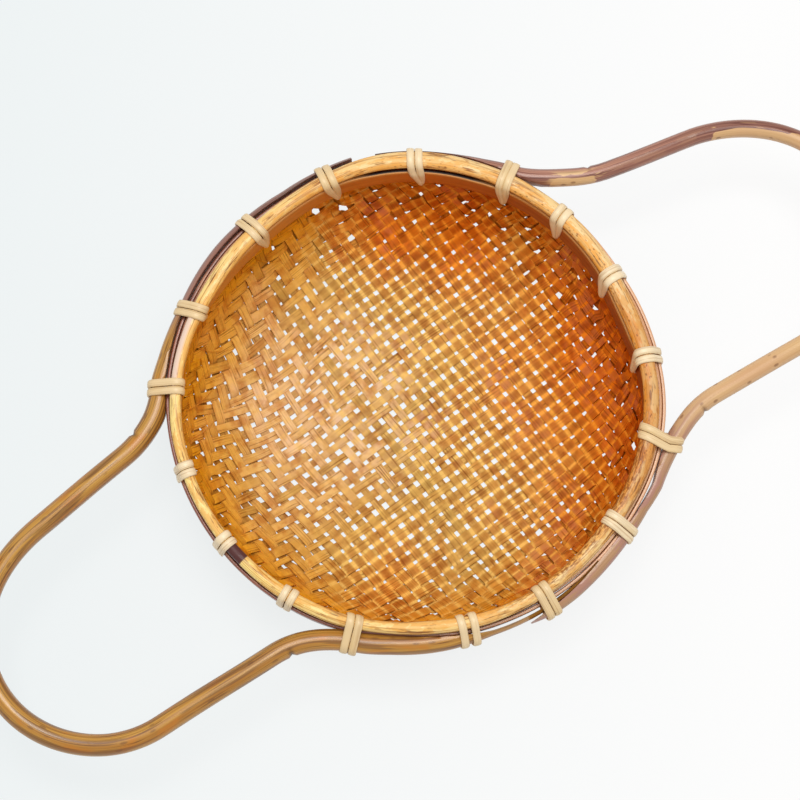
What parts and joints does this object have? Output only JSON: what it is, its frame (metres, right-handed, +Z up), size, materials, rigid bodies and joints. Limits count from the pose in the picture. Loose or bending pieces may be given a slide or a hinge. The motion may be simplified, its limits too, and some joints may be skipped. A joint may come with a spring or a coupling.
{
  "type": "zaru basket",
  "caption": "Shallow round woven bamboo basket with a lashed rim and a rattan loop handle on each side.",
  "frame": {"origin": "centre of the bowl's flat floor, on its underside, where the basket stands", "axes": "+Z up out of the bowl, +X along the line through both handles, towards the thinner handle"},
  "size_m": [0.3243, 0.1662, 0.0443],
  "materials": {
    "golden_bamboo": "satin, fine fibres along each strip",
    "tan_bamboo": "satin",
    "bamboo_rind": "satin, dark rind",
    "pale_cane": "satin",
    "golden_rattan": "semi-gloss rind",
    "pinkish_rattan": "semi-gloss rind"
  },
  "bodies": {
    "root": {"woven_bowl": "golden_bamboo", "inner_band": "tan_bamboo", "rim_rod": "tan_bamboo", "outer_band": "bamboo_rind", "outer_strip": "bamboo_rind", "handle_left": "golden_rattan", "handle_right": "pinkish_rattan", "lashing_01": "pale_cane", "lashing_02": "pale_cane", "lashing_03": "pale_cane", "lashing_04": "pale_cane", "lashing_05": "pale_cane", "lashing_06": "pale_cane", "lashing_07": "pale_cane", "lashing_08": "pale_cane", "lashing_09": "pale_cane", "lashing_10": "pale_cane", "lashing_11": "pale_cane", "lashing_12": "pale_cane", "lashing_13": "pale_cane", "lashing_14": "pale_cane", "lashing_15": "pale_cane", "lashing_16": "pale_cane", "lashing_17": "pale_cane"}
  },
  "joints": []
}
